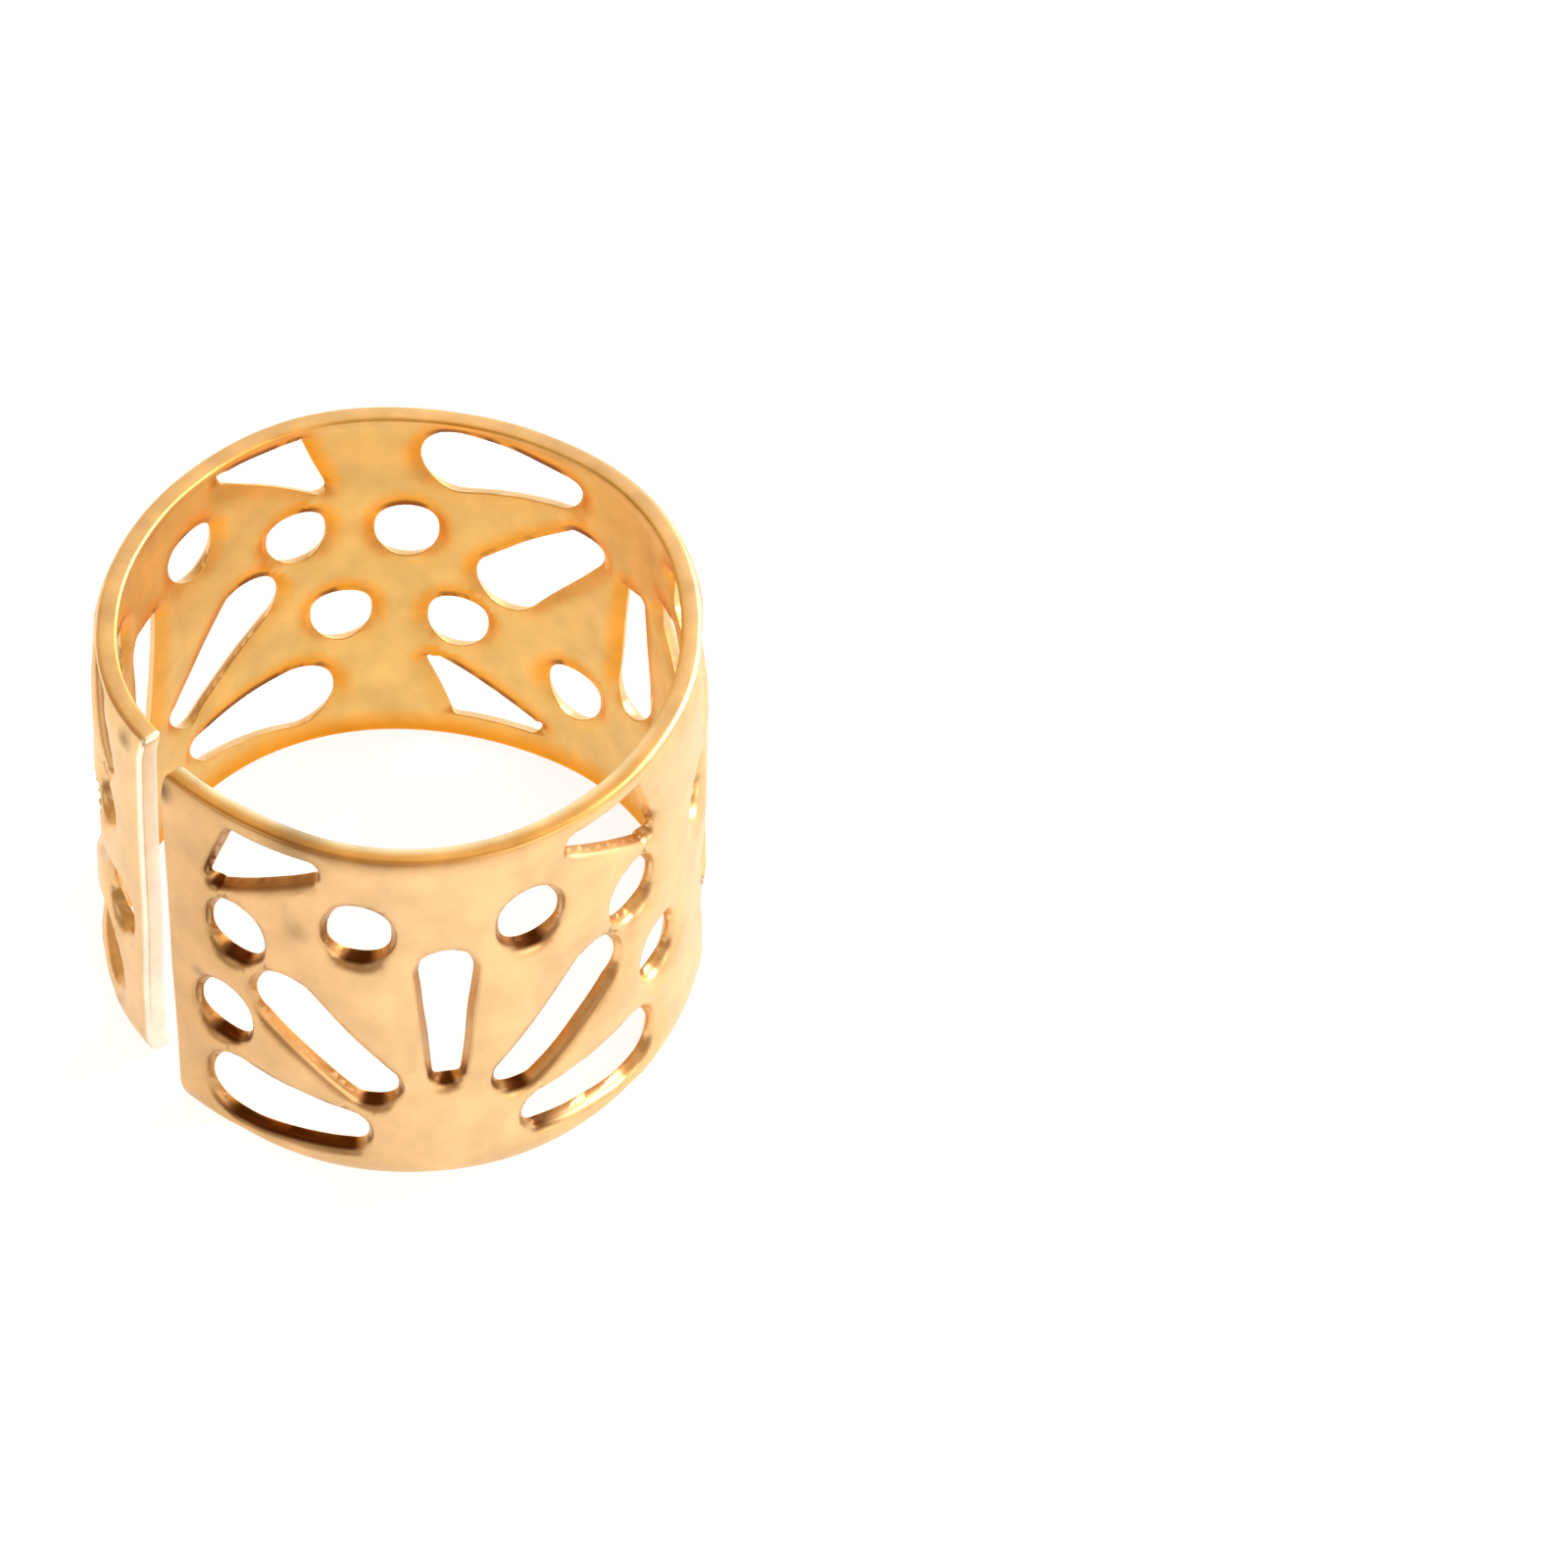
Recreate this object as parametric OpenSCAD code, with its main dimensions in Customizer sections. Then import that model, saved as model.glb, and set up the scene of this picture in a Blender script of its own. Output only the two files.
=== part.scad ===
// Open hair cuff bead: one strip of thin sheet, pierced with half daisies
// while it is flat and then rolled by hand into a ring that stays open.
// It stands on its lower rim, with the opening for the hair along Z.

/* [Cuff] */
// Mean outside diameter of the rolled cuff
cuff_d = 10.4; // [10:0.1:12]
// Height of the cuff, which is the width of the strip
cuff_h = 7.4; // [7:0.1:8.4]
// Thickness of the sheet
sheet_t = 0.36; // [0.25:0.01:0.6]
// Angle that the strip is rolled through, from end to end
roll_deg = 356; // [345:1:357]
// How far the foot of the front end is trimmed back past square
end_trim = 0.25; // [0:0.05:0.35]

/* [Daisies] */
// Height of a daisy's heart above the rim it stands on
heart_up = 0.95; // [0.9:0.05:1.1]
// Distance from a daisy's heart to the root of each petal
petal_root = 1.25; // [1:0.05:1.4]
// Distance from a daisy's heart to the round end of each petal
petal_reach = 4.25; // [3.8:0.05:4.35]
// Breadth of a flat-lying petal at its round end
petal_w = 1.45; // [1:0.05:1.5]
// Breadth of a flat-lying petal at its root
root_w = 0.85; // [0.5:0.05:0.9]

/* [Dots and corners] */
// Width of a round hole, along the strip
dot_w = 1.12; // [0.8:0.02:1.18]
// Height of a round hole, across the strip
dot_h = 1.22; // [1.2:0.02:1.44]
// Solid metal left between a corner hole and the rim
rim_margin = 0.34; // [0.24:0.02:0.4]
// Length of a corner hole, along the strip
corner_l = 2.1; // [1.5:0.05:2.2]
// Height of a corner hole, across the strip
corner_h = 1.4; // [1:0.04:1.48]
// Radius that rounds the corners of a corner hole
corner_r = 0.18; // [0.1:0.01:0.22]

/* [Hidden] */
$fn = 24;

// The roll of the strip, end to end, as tangent arcs: the angle each turns
// through and its outside radius as a share of the mean one. The last arc
// takes what is left of roll_deg.
// columns: turn in degrees, share of the mean outside radius
BENDS = [
    [22, 1.28],
    [70, 0.835],
    [61, 1.155],
    [37, 0.885],
    [39, 1.065],
    [39, 0.84],
    [52, 1.075],
    [0, 0.845]
];
// Direction in which the front end sets out
START_HEADING = -50;

// The daisies along the strip, in its rolled length.
// columns: place as a share of the strip's length, 1 where it hangs from the
// upper rim, the shares of a pitch to its outermost dots, left and right, and
// how far the whole group was punched above its true place, as a share of the
// height
DAISIES = [
    [0.165, 0, 0.377, 0.426, -0.0068],
    [0.507, 1, 0.436, 0.425, 0.0054],
    [0.832, 0, 0.427, 0.4, 0.0068]
];

// The petals of a half daisy on one side of its middle.
// columns: angle above the rim, share of petal_reach, share of petal_w, share
// of root_w
PETALS = [
    [1, 1, 1, 1],
    [45, 1.03, 0.87, 1],
    [90, 1.02, 0.66, 0.6]
];

// The round holes on one side of a daisy's middle, but for the outermost one.
// columns: share of a pitch along the strip, share of the height
DOTS = [
    [0.137, 0.765],
    [0.351, 0.645]
];
// Place of the outermost round holes, as a share of the height
OUTER_DOT_UP = 0.37;

// Where the long side of a corner hole starts, as a share of a pitch
CORNER_AT = 0.2;
// How far a corner hole's foot stands out past its long side, in its length
CORNER_LEAN = 0.18;

PITCHES = len(DAISIES);
// How far a cutter runs out past the metal that it cuts
PAST = 0.6;
// Turn of the roll that one flat face of the sheet stands for
FACET_DEG = 5;
// How far a hole's straight sides run inside the touching circles
TUCK = 0.004;

function total(v, i = 0) = i >= len(v) ? 0 : v[i] + total(v, i + 1);
function turn(i) = i < len(BENDS) - 1 ? BENDS[i][0] : roll_deg - total([for (b = BENDS) b[0]]);
function outer_r(i) = BENDS[i][1] * cuff_d / 2;
function mid_len(i) = (outer_r(i) - sheet_t / 2) * turn(i) * PI / 180;
function heading(i) = i == 0 ? START_HEADING : heading(i - 1) + turn(i - 1);
function leftward(h) = [-sin(h), cos(h)];

// Outside corner of the strip where arc i starts, from the front end
function arc_start(i) = i == 0 ? [0, 0] : on_arc(i - 1, turn(i - 1));
// Centre of arc i
function arc_centre(i) = arc_start(i) + outer_r(i) * leftward(heading(i));
// Outside point of arc i after it has turned by an angle
function on_arc(i, a) = arc_centre(i) - outer_r(i) * leftward(heading(i) + a);

// Length of the strip up to arc i, along the middle of the sheet
function run_to(i) = i == 0 ? 0 : run_to(i - 1) + mid_len(i - 1);
strip_l = run_to(len(BENDS) - 1) + mid_len(len(BENDS) - 1);
pitch = strip_l / PITCHES;

// The arc that holds the place u along the strip
function arc_of(u, i = 0) = i == len(BENDS) - 1 || u < run_to(i) + mid_len(i) ? i : arc_of(u, i + 1);
function angle_in(i, u) = (u - run_to(i)) / (outer_r(i) - sheet_t / 2) * 180 / PI;

// One face of the rolled sheet, sunk below the outside by a depth
function rolled_line(depth) = [
    for (i = [0 : len(BENDS) - 1])
        let (steps = ceil(turn(i) / FACET_DEG))
            for (k = [i == 0 ? 0 : 1 : steps])
                arc_centre(i) - (outer_r(i) - depth) * leftward(heading(i) + turn(i) * k / steps)
];
function backwards(v) = [for (i = [len(v) - 1 : -1 : 0]) v[i]];

outside = rolled_line(0);
xs = [for (p = outside) p[0]];
ys = [for (p = outside) p[1]];
middle = [(min(xs) + max(xs)) / 2, (min(ys) + max(ys)) / 2];

// Outline round a row of circles [x, y, r] that form a convex shape, listed
// anticlockwise: the circles and the straight sides that touch them
module round_outline(circles) {
    n = len(circles);
    sides = [
        for (i = [0 : n - 1])
            let (
                a = circles[i],
                b = circles[(i + 1) % n],
                dx = b[0] - a[0],
                dy = b[1] - a[1],
                swing = atan2(dy, dx) - acos((a[2] - b[2]) / norm([dx, dy]))
            )
            for (c = [a, b]) [c[0] + (c[2] - TUCK) * cos(swing), c[1] + (c[2] - TUCK) * sin(swing)]
    ];
    polygon(sides);
    for (c = circles) translate([c[0], c[1]]) circle(r = c[2]);
}

// One petal, from its narrow root to its round end, lying along +X
module petal_2d(start_w, reach, end_w) {
    round_outline([
        [petal_root + start_w / 2, 0, start_w / 2],
        [reach - end_w / 2, 0, end_w / 2]
    ]);
}

// An upright oval hole
module dot_2d() {
    rise = (dot_h - dot_w) / 2;
    round_outline([[0, -rise, dot_w / 2], [0, rise, dot_w / 2]]);
}

// The corner hole to the right of a daisy: a long side under the far rim and
// a foot that leans away from the daisy
module corner_2d() {
    top = cuff_h - rim_margin - corner_r;
    near = CORNER_AT * pitch + corner_r;
    far = near + corner_l - 2 * corner_r;
    round_outline([
        [far, top - corner_h + 2 * corner_r, corner_r],
        [far - CORNER_LEAN * corner_l, top, corner_r],
        [near, top, corner_r]
    ]);
}

// Place a flat cutter at u along the strip and z up, facing outwards
module on_strip(u, z) {
    i = arc_of(u);
    a = angle_in(i, u);
    p = on_arc(i, a) - middle;
    h = heading(i) + a;
    translate([p[0], p[1], z])
        rotate(h)
            rotate([90, 0, 0])
                linear_extrude(2 * (sheet_t + PAST), center = true)
                    children();
}

// One hole of a daisy's group: x from its middle, y up from its rim, turned
// round with the daisy where it hangs from the upper rim
module in_group(daisy, x, y) {
    hangs = daisy[1] == 1;
    u = daisy[0] * strip_l + (hangs ? -x : x);
    z = daisy[4] * cuff_h + (hangs ? cuff_h - y : y);
    on_strip(u, z) rotate(hangs ? 180 : 0) children();
}

// All the holes round one daisy
module daisy_group(daisy) {
    for (side = [-1, 1]) {
        for (p = PETALS)
            if (side == 1 || p[0] < 90) {
                reach = p[1] * petal_reach;
                mid = (petal_root + reach) / 2;
                in_group(daisy, side * mid * cos(p[0]), heart_up + mid * sin(p[0]))
                    rotate(side == 1 ? p[0] : 180 - p[0])
                        translate([-mid, 0])
                            petal_2d(p[3] * root_w, reach, p[2] * petal_w);
            }
        for (d = DOTS)
            in_group(daisy, side * d[0] * pitch, d[1] * cuff_h) dot_2d();
        outer = side == -1 ? daisy[2] : daisy[3];
        in_group(daisy, side * outer * pitch, OUTER_DOT_UP * cuff_h) dot_2d();
        corner_mid = CORNER_AT * pitch + corner_l / 2;
        in_group(daisy, side * corner_mid, 0)
            mirror([side == 1 ? 0 : 1, 0])
                translate([-corner_mid, 0])
                    corner_2d();
    }
}

// The sliver trimmed off the front end, so that its foot stands back
module end_trim_2d() {
    slope = end_trim / cuff_h;
    polygon([
        [-PAST, -PAST],
        [end_trim + slope * PAST, -PAST],
        [-slope * PAST, cuff_h + PAST],
        [-PAST, cuff_h + PAST]
    ]);
}

module strip_rolled() {
    translate([-middle[0], -middle[1], 0])
        linear_extrude(cuff_h)
            polygon(concat(outside, backwards(rolled_line(sheet_t))));
}

module cuff_band() {
    color([0.93, 0.74, 0.44])
        difference() {
            strip_rolled();
            for (daisy = DAISIES) daisy_group(daisy);
            if (end_trim > 0) on_strip(0, 0) end_trim_2d();
        }
}

cuff_band();
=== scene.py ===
"""Open hair cuff bead of pale gold sheet, pierced with half daisies.

The bead is one strip of thin sheet. Its visual mesh is drawn flat, with every
hole's outline swept from arcs, then rolled along the same tangent arcs as the
solid that it stands for. Flat coordinates: X runs along the strip, Y is the
depth below the outside face, Z is the height. Flat lengths are millimetres.
"""

import logging
import math
from dataclasses import dataclass, field
from enum import Enum
from typing import Any, Iterable, Mapping, NamedTuple, Optional, Sequence, Union

import bmesh
import bpy
import numpy as np
from mathutils import Euler, Matrix, Vector, noise


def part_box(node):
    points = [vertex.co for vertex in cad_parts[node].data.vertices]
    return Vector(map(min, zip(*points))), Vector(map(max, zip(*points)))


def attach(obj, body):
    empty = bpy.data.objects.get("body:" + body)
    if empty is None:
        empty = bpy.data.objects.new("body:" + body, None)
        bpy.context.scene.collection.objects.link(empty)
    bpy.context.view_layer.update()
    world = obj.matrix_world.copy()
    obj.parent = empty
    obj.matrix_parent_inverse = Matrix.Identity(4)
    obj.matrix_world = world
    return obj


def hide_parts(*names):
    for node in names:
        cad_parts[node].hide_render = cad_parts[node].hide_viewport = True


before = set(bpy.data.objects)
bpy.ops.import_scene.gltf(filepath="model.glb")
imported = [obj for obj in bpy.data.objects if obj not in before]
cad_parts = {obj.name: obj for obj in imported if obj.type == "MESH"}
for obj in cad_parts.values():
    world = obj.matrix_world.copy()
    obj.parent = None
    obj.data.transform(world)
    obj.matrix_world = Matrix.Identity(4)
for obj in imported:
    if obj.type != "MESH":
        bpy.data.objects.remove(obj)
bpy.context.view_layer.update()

LOG = logging.getLogger("hair_cuff_bead")
MM = 0.001
NODE = "cuff_band"
FLAT = "flat_place"
FROM_HOLE = "from_hole"
OVER_HOLE = "over_hole"
# Millimetres within which a point counts as on a cutting plane, and as on a face
ON_PLANE = 1e-5
ON_FACE = 1e-4

Colour = tuple[float, float, float]
Input = Union[float, tuple, bpy.types.NodeSocket, "Value"]


class Value:
    """A shader socket that arithmetic works on: each operator adds one Math node."""

    def __init__(self, graph: "Graph", socket: bpy.types.NodeSocket) -> None:
        """Wraps a socket.

        Args:
            graph: The graph that new nodes go into.
            socket: The output socket that holds the value.
        """
        self.graph = graph
        self.socket = socket

    def _math(self, operation: str, first: Input, second: Input) -> "Value":
        """Adds a Math node of two values and returns its result."""
        return self.graph.add(
            "ShaderNodeMath", {"operation": operation}, {0: first, 1: second}
        ).value(0)

    def __add__(self, other: Input) -> "Value":
        """self + other."""
        return self._math("ADD", self, other)

    def __radd__(self, other: Input) -> "Value":
        """other + self."""
        return self._math("ADD", other, self)

    def __sub__(self, other: Input) -> "Value":
        """self - other."""
        return self._math("SUBTRACT", self, other)

    def __rsub__(self, other: Input) -> "Value":
        """other - self."""
        return self._math("SUBTRACT", other, self)

    def __mul__(self, other: Input) -> "Value":
        """self * other."""
        return self._math("MULTIPLY", self, other)

    def __rmul__(self, other: Input) -> "Value":
        """other * self."""
        return self._math("MULTIPLY", other, self)


class Added:
    """A node just added to a graph, and what comes out of it."""

    def __init__(self, graph: "Graph", node: bpy.types.Node) -> None:
        """Keeps the node with its graph."""
        self.graph = graph
        self.node = node

    def out(self, name: Union[str, int]) -> bpy.types.NodeSocket:
        """The output socket of that name or place."""
        return self.node.outputs[name]

    def value(self, name: Union[str, int]) -> Value:
        """The output of that name or place, for arithmetic."""
        return Value(self.graph, self.node.outputs[name])


class Graph:
    """The node tree of one material or world, which starts empty."""

    def __init__(self, tree: bpy.types.NodeTree) -> None:
        """Empties the tree and keeps it."""
        tree.nodes.clear()
        self.tree = tree

    def add(
        self,
        kind: str,
        settings: Optional[Mapping[str, Any]] = None,
        inputs: Optional[Mapping[Union[str, int], Input]] = None,
    ) -> Added:
        """Adds one node.

        Args:
            kind: The node's type name.
            settings: Its properties, set first. "stops" gives a ramp's stops as (place, colour).
            inputs: A number, colour, socket or Value for each input socket.

        Returns:
            The new node.
        """
        node = self.tree.nodes.new(kind)
        for name, setting in (settings or {}).items():
            if name == "stops":
                self._set_stops(node.color_ramp, setting)
            else:
                setattr(node, name, setting)
        for name, given in (inputs or {}).items():
            source = given.socket if isinstance(given, Value) else given
            if isinstance(source, bpy.types.NodeSocket):
                self.tree.links.new(source, node.inputs[name])
            else:
                node.inputs[name].default_value = source
        return Added(self, node)

    @staticmethod
    def _set_stops(ramp: bpy.types.ColorRamp, stops: Sequence[tuple[float, Colour]]) -> None:
        """Gives a colour ramp its stops, in order.

        Args:
            ramp: The ramp.
            stops: The place and the colour of each stop.
        """
        while len(ramp.elements) < len(stops):
            ramp.elements.new(1)
        for element, (place, colour) in zip(ramp.elements, stops):
            element.position = place
            element.color = (*colour, 1)

    def mix(self, amount: Input, low: Input, high: Input) -> bpy.types.NodeSocket:
        """A colour between two.

        Args:
            amount: 0 gives low and 1 gives high.
            low: A colour or a colour socket.
            high: A colour or a colour socket.

        Returns:
            The mixed colour's socket.
        """
        mixed = self.add("ShaderNodeMix", {"data_type": "RGBA"}, {"Factor": amount})
        for place, given in (("A", low), ("B", high)):
            socket = next(s for s in mixed.node.inputs if s.name == place and s.type == "RGBA")
            if isinstance(given, bpy.types.NodeSocket):
                self.tree.links.new(given, socket)
            else:
                socket.default_value = (*given, 1)
        return next(s for s in mixed.node.outputs if s.type == "RGBA")

    def step(self, given: Input, low: float, high: float) -> Value:
        """A soft step from 0 at low to 1 at high, which may be the smaller."""
        return self.add(
            "ShaderNodeMapRange",
            {"interpolation_type": "SMOOTHSTEP"},
            {"Value": given, "From Min": low, "From Max": high},
        ).value(0)

    def noise(self, size: float, detail: float = 2) -> Value:
        """Soft noise from 0 to 1 on the piece's own coordinates.

        Args:
            size: Breadth of one patch, in metres.
            detail: How many finer layers lie on it.

        Returns:
            The noise's value.
        """
        place = self.add("ShaderNodeTexCoord").out("Object")
        return self.add(
            "ShaderNodeTexNoise", {}, {"Vector": place, "Scale": 1 / size, "Detail": detail}
        ).value(0)


class DarkSpot(NamedTuple):
    """A small dark spot on the outside, a stain save one that is a painted shadow: its place on the flat
    strip, its radius and its strength.
    """

    along: float
    up: float
    radius: float
    strength: float


class Reading(NamedTuple):
    """What the gold's finish reads at a point of the strip."""

    flat: bpy.types.NodeSocket
    along: Value
    up: Value
    depth: Value
    away: Value
    over: Value
    blotches: Value


@dataclass(frozen=True)
class PaleGold:
    """Pale gold plate with a soft, uneven polish.

    The outside is peach gold with faint blotches and a few small stains, and a
    painted shadow in the near end's top corner. It turns darker towards the front
    end of the strip, and a painted pale reflection lies on the far end's edge.
    The inside is a deeper gold, which paints the gold walls' reflections in one
    another, with painted orange shade over the holes and along the lower rim and
    painted dark shade at the holes' upper edges.
    The walls of the first daisy's holes carry painted dark brown shade, most of
    all under each hole.
    At the front, the upper rim has painted shade on its outer side and a painted
    highlight on its inner side.

    Lengths on the strip are millimetres, and those of noises are metres. A
    reach is where a soft step starts and where it ends: on the strip, in the
    depth as a share of the sheet's thickness, or over a hole, where 1 is
    straight above the hole, 0 beside it and -1 straight under it.
    """

    sheet: float
    length: float
    height: float
    peach: Colour = (0.83, 0.54, 0.285)
    yellow: Colour = (0.84, 0.57, 0.265)
    front_end_dark: Colour = (0.71, 0.44, 0.2)
    # painted reflection: the inside's deeper gold stands in for the gold walls reflecting one another
    inner: Colour = (0.8, 0.51, 0.165)
    # painted shade: deep orange round the holes and along the lower rim, on the inside
    halo: Colour = (0.86, 0.36, 0.03)
    # painted shade: dark lips at the holes' upper edges, on the inside
    lip: Colour = (0.26, 0.08, 0.012)
    # painted shade: dark brown on the walls of the front holes, most of all under each hole
    wall_shade: Colour = (0.11, 0.035, 0.008)
    # colour of the stains, and of the painted shadow in the near end's top corner
    stain_and_shadow: Colour = (0.22, 0.12, 0.05)
    # painted reflection: pale cream on the far end's edge
    end_reflection: Colour = (0.97, 0.88, 0.72)
    # painted shade on the upper rim's outer side, at the front
    rim_outside: Colour = (0.76, 0.43, 0.14)
    # painted highlight on the upper rim's inner side, at the front
    rim_inside: Colour = (1.0, 0.9, 0.62)
    front_end_reach: tuple[float, float] = (0.5, 5.0)
    halo_reach: tuple[float, float] = (0.05, 0.42)
    lip_reach: tuple[float, float] = (0.04, 0.15)
    wall_reach: tuple[float, float] = (0.05, 0.12)
    wall_shade_reach: tuple[float, float] = (7.5, 6.6)
    side_wall_shade: float = 0.16
    end_reflection_reach: tuple[float, float] = (0.15, 0.05)
    rim_reach: tuple[float, float] = (0.05, 0.55)
    rim_top: float = 0.11
    rim_mark_reach: tuple[float, float] = (11.0, 8.0)
    inside_depth: tuple[float, float] = (0.55, 0.95)
    rim_depth: tuple[float, float] = (0.3, 0.9)
    wall_depth: tuple[float, float] = (0.8, 1.0)
    halo_over: tuple[float, float] = (-0.6, 0.3)
    least_halo: float = 0.1
    lip_over: tuple[float, float] = (0.5, 0.95)
    lip_blotch: tuple[float, float] = (0.4, 0.55)
    wall_shade_over: tuple[float, float] = (-0.97, -0.78)
    stains_and_shadow: tuple[DarkSpot, ...] = (
        DarkSpot(0.79, 3.38, 0.25, 0.5),
        DarkSpot(2.69, 5.5, 0.33, 0.3),
        DarkSpot(2.6, 6.55, 0.25, 0.7),
        DarkSpot(2.6, 7.4, 0.9, 0.6),
        # painted shadow in the near end's top inner corner
        DarkSpot(0.05, 7.1, 0.35, 1.0),
        DarkSpot(1.05, 5.75, 0.25, 0.6),
        DarkSpot(9.06, 5.99, 0.28, 1.0),
        DarkSpot(8.85, 4.69, 0.3, 1.0),
        DarkSpot(8.88, 0.93, 0.33, 1.0),
        DarkSpot(7.75, 3.8, 0.15, 0.7),
        DarkSpot(30.2, 7.1, 0.3, 0.7),
    )
    smooth: float = 0.28
    dull: float = 0.44
    patch: float = 2.6 * MM
    blotch: float = 0.7 * MM
    blotch_depth: float = 0.6
    ripple: float = 0.9 * MM
    ripple_depth: float = 0.008 * MM
    grain: float = 0.05 * MM
    grain_depth: float = 0.0006 * MM

    def read(self, graph: Graph) -> Reading:
        """Reads where on the strip a point is.

        Args:
            graph: The material's graph.

        Returns:
            The place on the flat strip, the places at the holes and the blotches.
        """
        flat = graph.add("ShaderNodeAttribute", {"attribute_name": FLAT}).out("Vector")
        split = graph.add("ShaderNodeSeparateXYZ", {}, {"Vector": flat})
        return Reading(
            flat=flat,
            along=split.value("X"),
            up=split.value("Z"),
            depth=split.value("Y") * (1 / self.sheet),
            away=graph.add("ShaderNodeAttribute", {"attribute_name": FROM_HOLE}).value("Fac"),
            over=graph.add("ShaderNodeAttribute", {"attribute_name": OVER_HOLE}).value("Fac"),
            blotches=graph.noise(self.blotch, 3),
        )

    def stained_and_shaded(self, graph: Graph, flat: bpy.types.NodeSocket) -> Value:
        """How dark the outside's spots make it, from 0 to 1: stains, and one painted shadow in the near
        end's top corner.

        Args:
            graph: The material's graph.
            flat: The place on the flat strip.

        Returns:
            The stains' strength there.
        """
        total = None
        for stain_and_shadow in self.stains_and_shadow:
            off = graph.add(
                "ShaderNodeVectorMath",
                {"operation": "DISTANCE"},
                {0: flat, 1: (stain_and_shadow.along, 0, stain_and_shadow.up)},
            ).value("Value")
            mark = (1 - graph.step(off, 0, stain_and_shadow.radius)) * stain_and_shadow.strength
            total = mark if total is None else total + mark
        return total

    def outside_colour(self, graph: Graph, at: Reading) -> bpy.types.NodeSocket:
        """The peach gold of the outside face, darker towards the front end.

        Args:
            graph: The material's graph.
            at: The place on the strip.

        Returns:
            The colour's socket.
        """
        mottled = graph.mix(graph.noise(self.patch), self.peach, self.yellow)
        return graph.mix(graph.step(at.along, *self.front_end_reach), self.front_end_dark, mottled)

    def inside_colour(self, graph: Graph, at: Reading) -> bpy.types.NodeSocket:
        """The inside face's colour: a deeper gold that paints the gold walls' reflections in one another,
        with painted orange shade over the holes and along the lower rim and painted dark shade at the
        holes' upper edges.

        Args:
            graph: The material's graph.
            at: The place on the strip.

        Returns:
            The colour's socket.
        """
        # painted orange shade round each hole, strongest over it, and along the lower rim
        share = graph.step(at.over, *self.halo_over) * (1 - self.least_halo) + self.least_halo
        by_hole = (1 - graph.step(at.away, *self.halo_reach)) * share
        by_rim = 1 - graph.step(at.up, *self.rim_reach)
        # painted dark shade at each hole's upper edge, broken up by the blotches
        lip = (1 - graph.step(at.away, *self.lip_reach)) * graph.step(at.over, *self.lip_over)
        halo = graph.mix(lip * graph.step(at.blotches, *self.lip_blotch), self.halo, self.lip)
        return graph.mix(1 - (1 - by_hole) * (1 - by_rim), self.inner, halo)

    def shaded_walls(self, graph: Graph, at: Reading) -> Value:
        """How much painted dark shade lies on the walls of the first daisy's holes, from 0 to 1.

        Args:
            graph: The material's graph.
            at: The place on the strip.

        Returns:
            The tarnish's strength there.
        """
        on_wall = 1 - graph.step(at.depth, *self.wall_depth)
        at_hole = on_wall * (1 - graph.step(at.away, *self.wall_reach))
        under = 1 - graph.step(at.over, *self.wall_shade_over)
        strength = under * (1 - self.side_wall_shade) + self.side_wall_shade
        return at_hole * strength * graph.step(at.along, *self.wall_shade_reach)

    def colour(self, graph: Graph, at: Reading) -> bpy.types.NodeSocket:
        """The whole colour: both faces, the painted shade on the walls, the upper rim's painted shade and
        highlight, the stains with one painted shadow, and the far end's painted reflection.

        Args:
            graph: The material's graph.
            at: The place on the strip.

        Returns:
            The colour's socket.
        """
        # the inside face's colour holds painted reflection and painted shade
        inside = graph.step(at.depth, *self.inside_depth)
        faces = graph.mix(inside, self.outside_colour(graph, at), self.inside_colour(graph, at))
        # painted dark shade on the walls of the front holes
        pierced = graph.mix(self.shaded_walls(graph, at), faces, self.wall_shade)
        # painted shade outside and painted highlight inside, on the front part of the upper rim
        on_rim = graph.step(at.up, self.height - self.rim_top, self.height)
        on_front_rim = on_rim * graph.step(at.along, *self.rim_mark_reach)
        rim = graph.mix(graph.step(at.depth, *self.rim_depth), self.rim_outside, self.rim_inside)
        rimmed = graph.mix(on_front_rim, pierced, rim)
        # stains, and one painted shadow
        marked = graph.mix(self.stained_and_shaded(graph, at.flat), rimmed, self.stain_and_shadow)
        # painted pale reflection on the far end's edge
        end_reflection = graph.step(at.along, *(self.length - reach for reach in self.end_reflection_reach))
        whole = graph.mix(end_reflection, marked, self.end_reflection)
        shade = at.blotches * self.blotch_depth + (1 - self.blotch_depth / 2)
        return graph.add(
            "ShaderNodeVectorMath", {"operation": "SCALE"}, {0: whole, "Scale": shade}
        ).out("Vector")

    def material(self, name: str) -> bpy.types.Material:
        """Builds the finish.

        Args:
            name: The material's name.

        Returns:
            The material.
        """
        made = bpy.data.materials.new(name)
        made.use_nodes = True
        graph = Graph(made.node_tree)
        at = self.read(graph)
        relief = graph.noise(self.ripple) * self.ripple_depth + graph.noise(self.grain) * self.grain_depth
        bump = graph.add("ShaderNodeBump", {}, {"Height": relief, "Strength": 1.0, "Distance": 1.0})
        shader = graph.add(
            "ShaderNodeBsdfPrincipled",
            {},
            {
                "Base Color": self.colour(graph, at),
                "Metallic": 1.0,
                "Roughness": self.smooth + at.blotches * (self.dull - self.smooth),
                "Normal": bump.out("Normal"),
            },
        )
        graph.add("ShaderNodeOutputMaterial", {}, {"Surface": shader.out("BSDF")})
        return made


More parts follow.
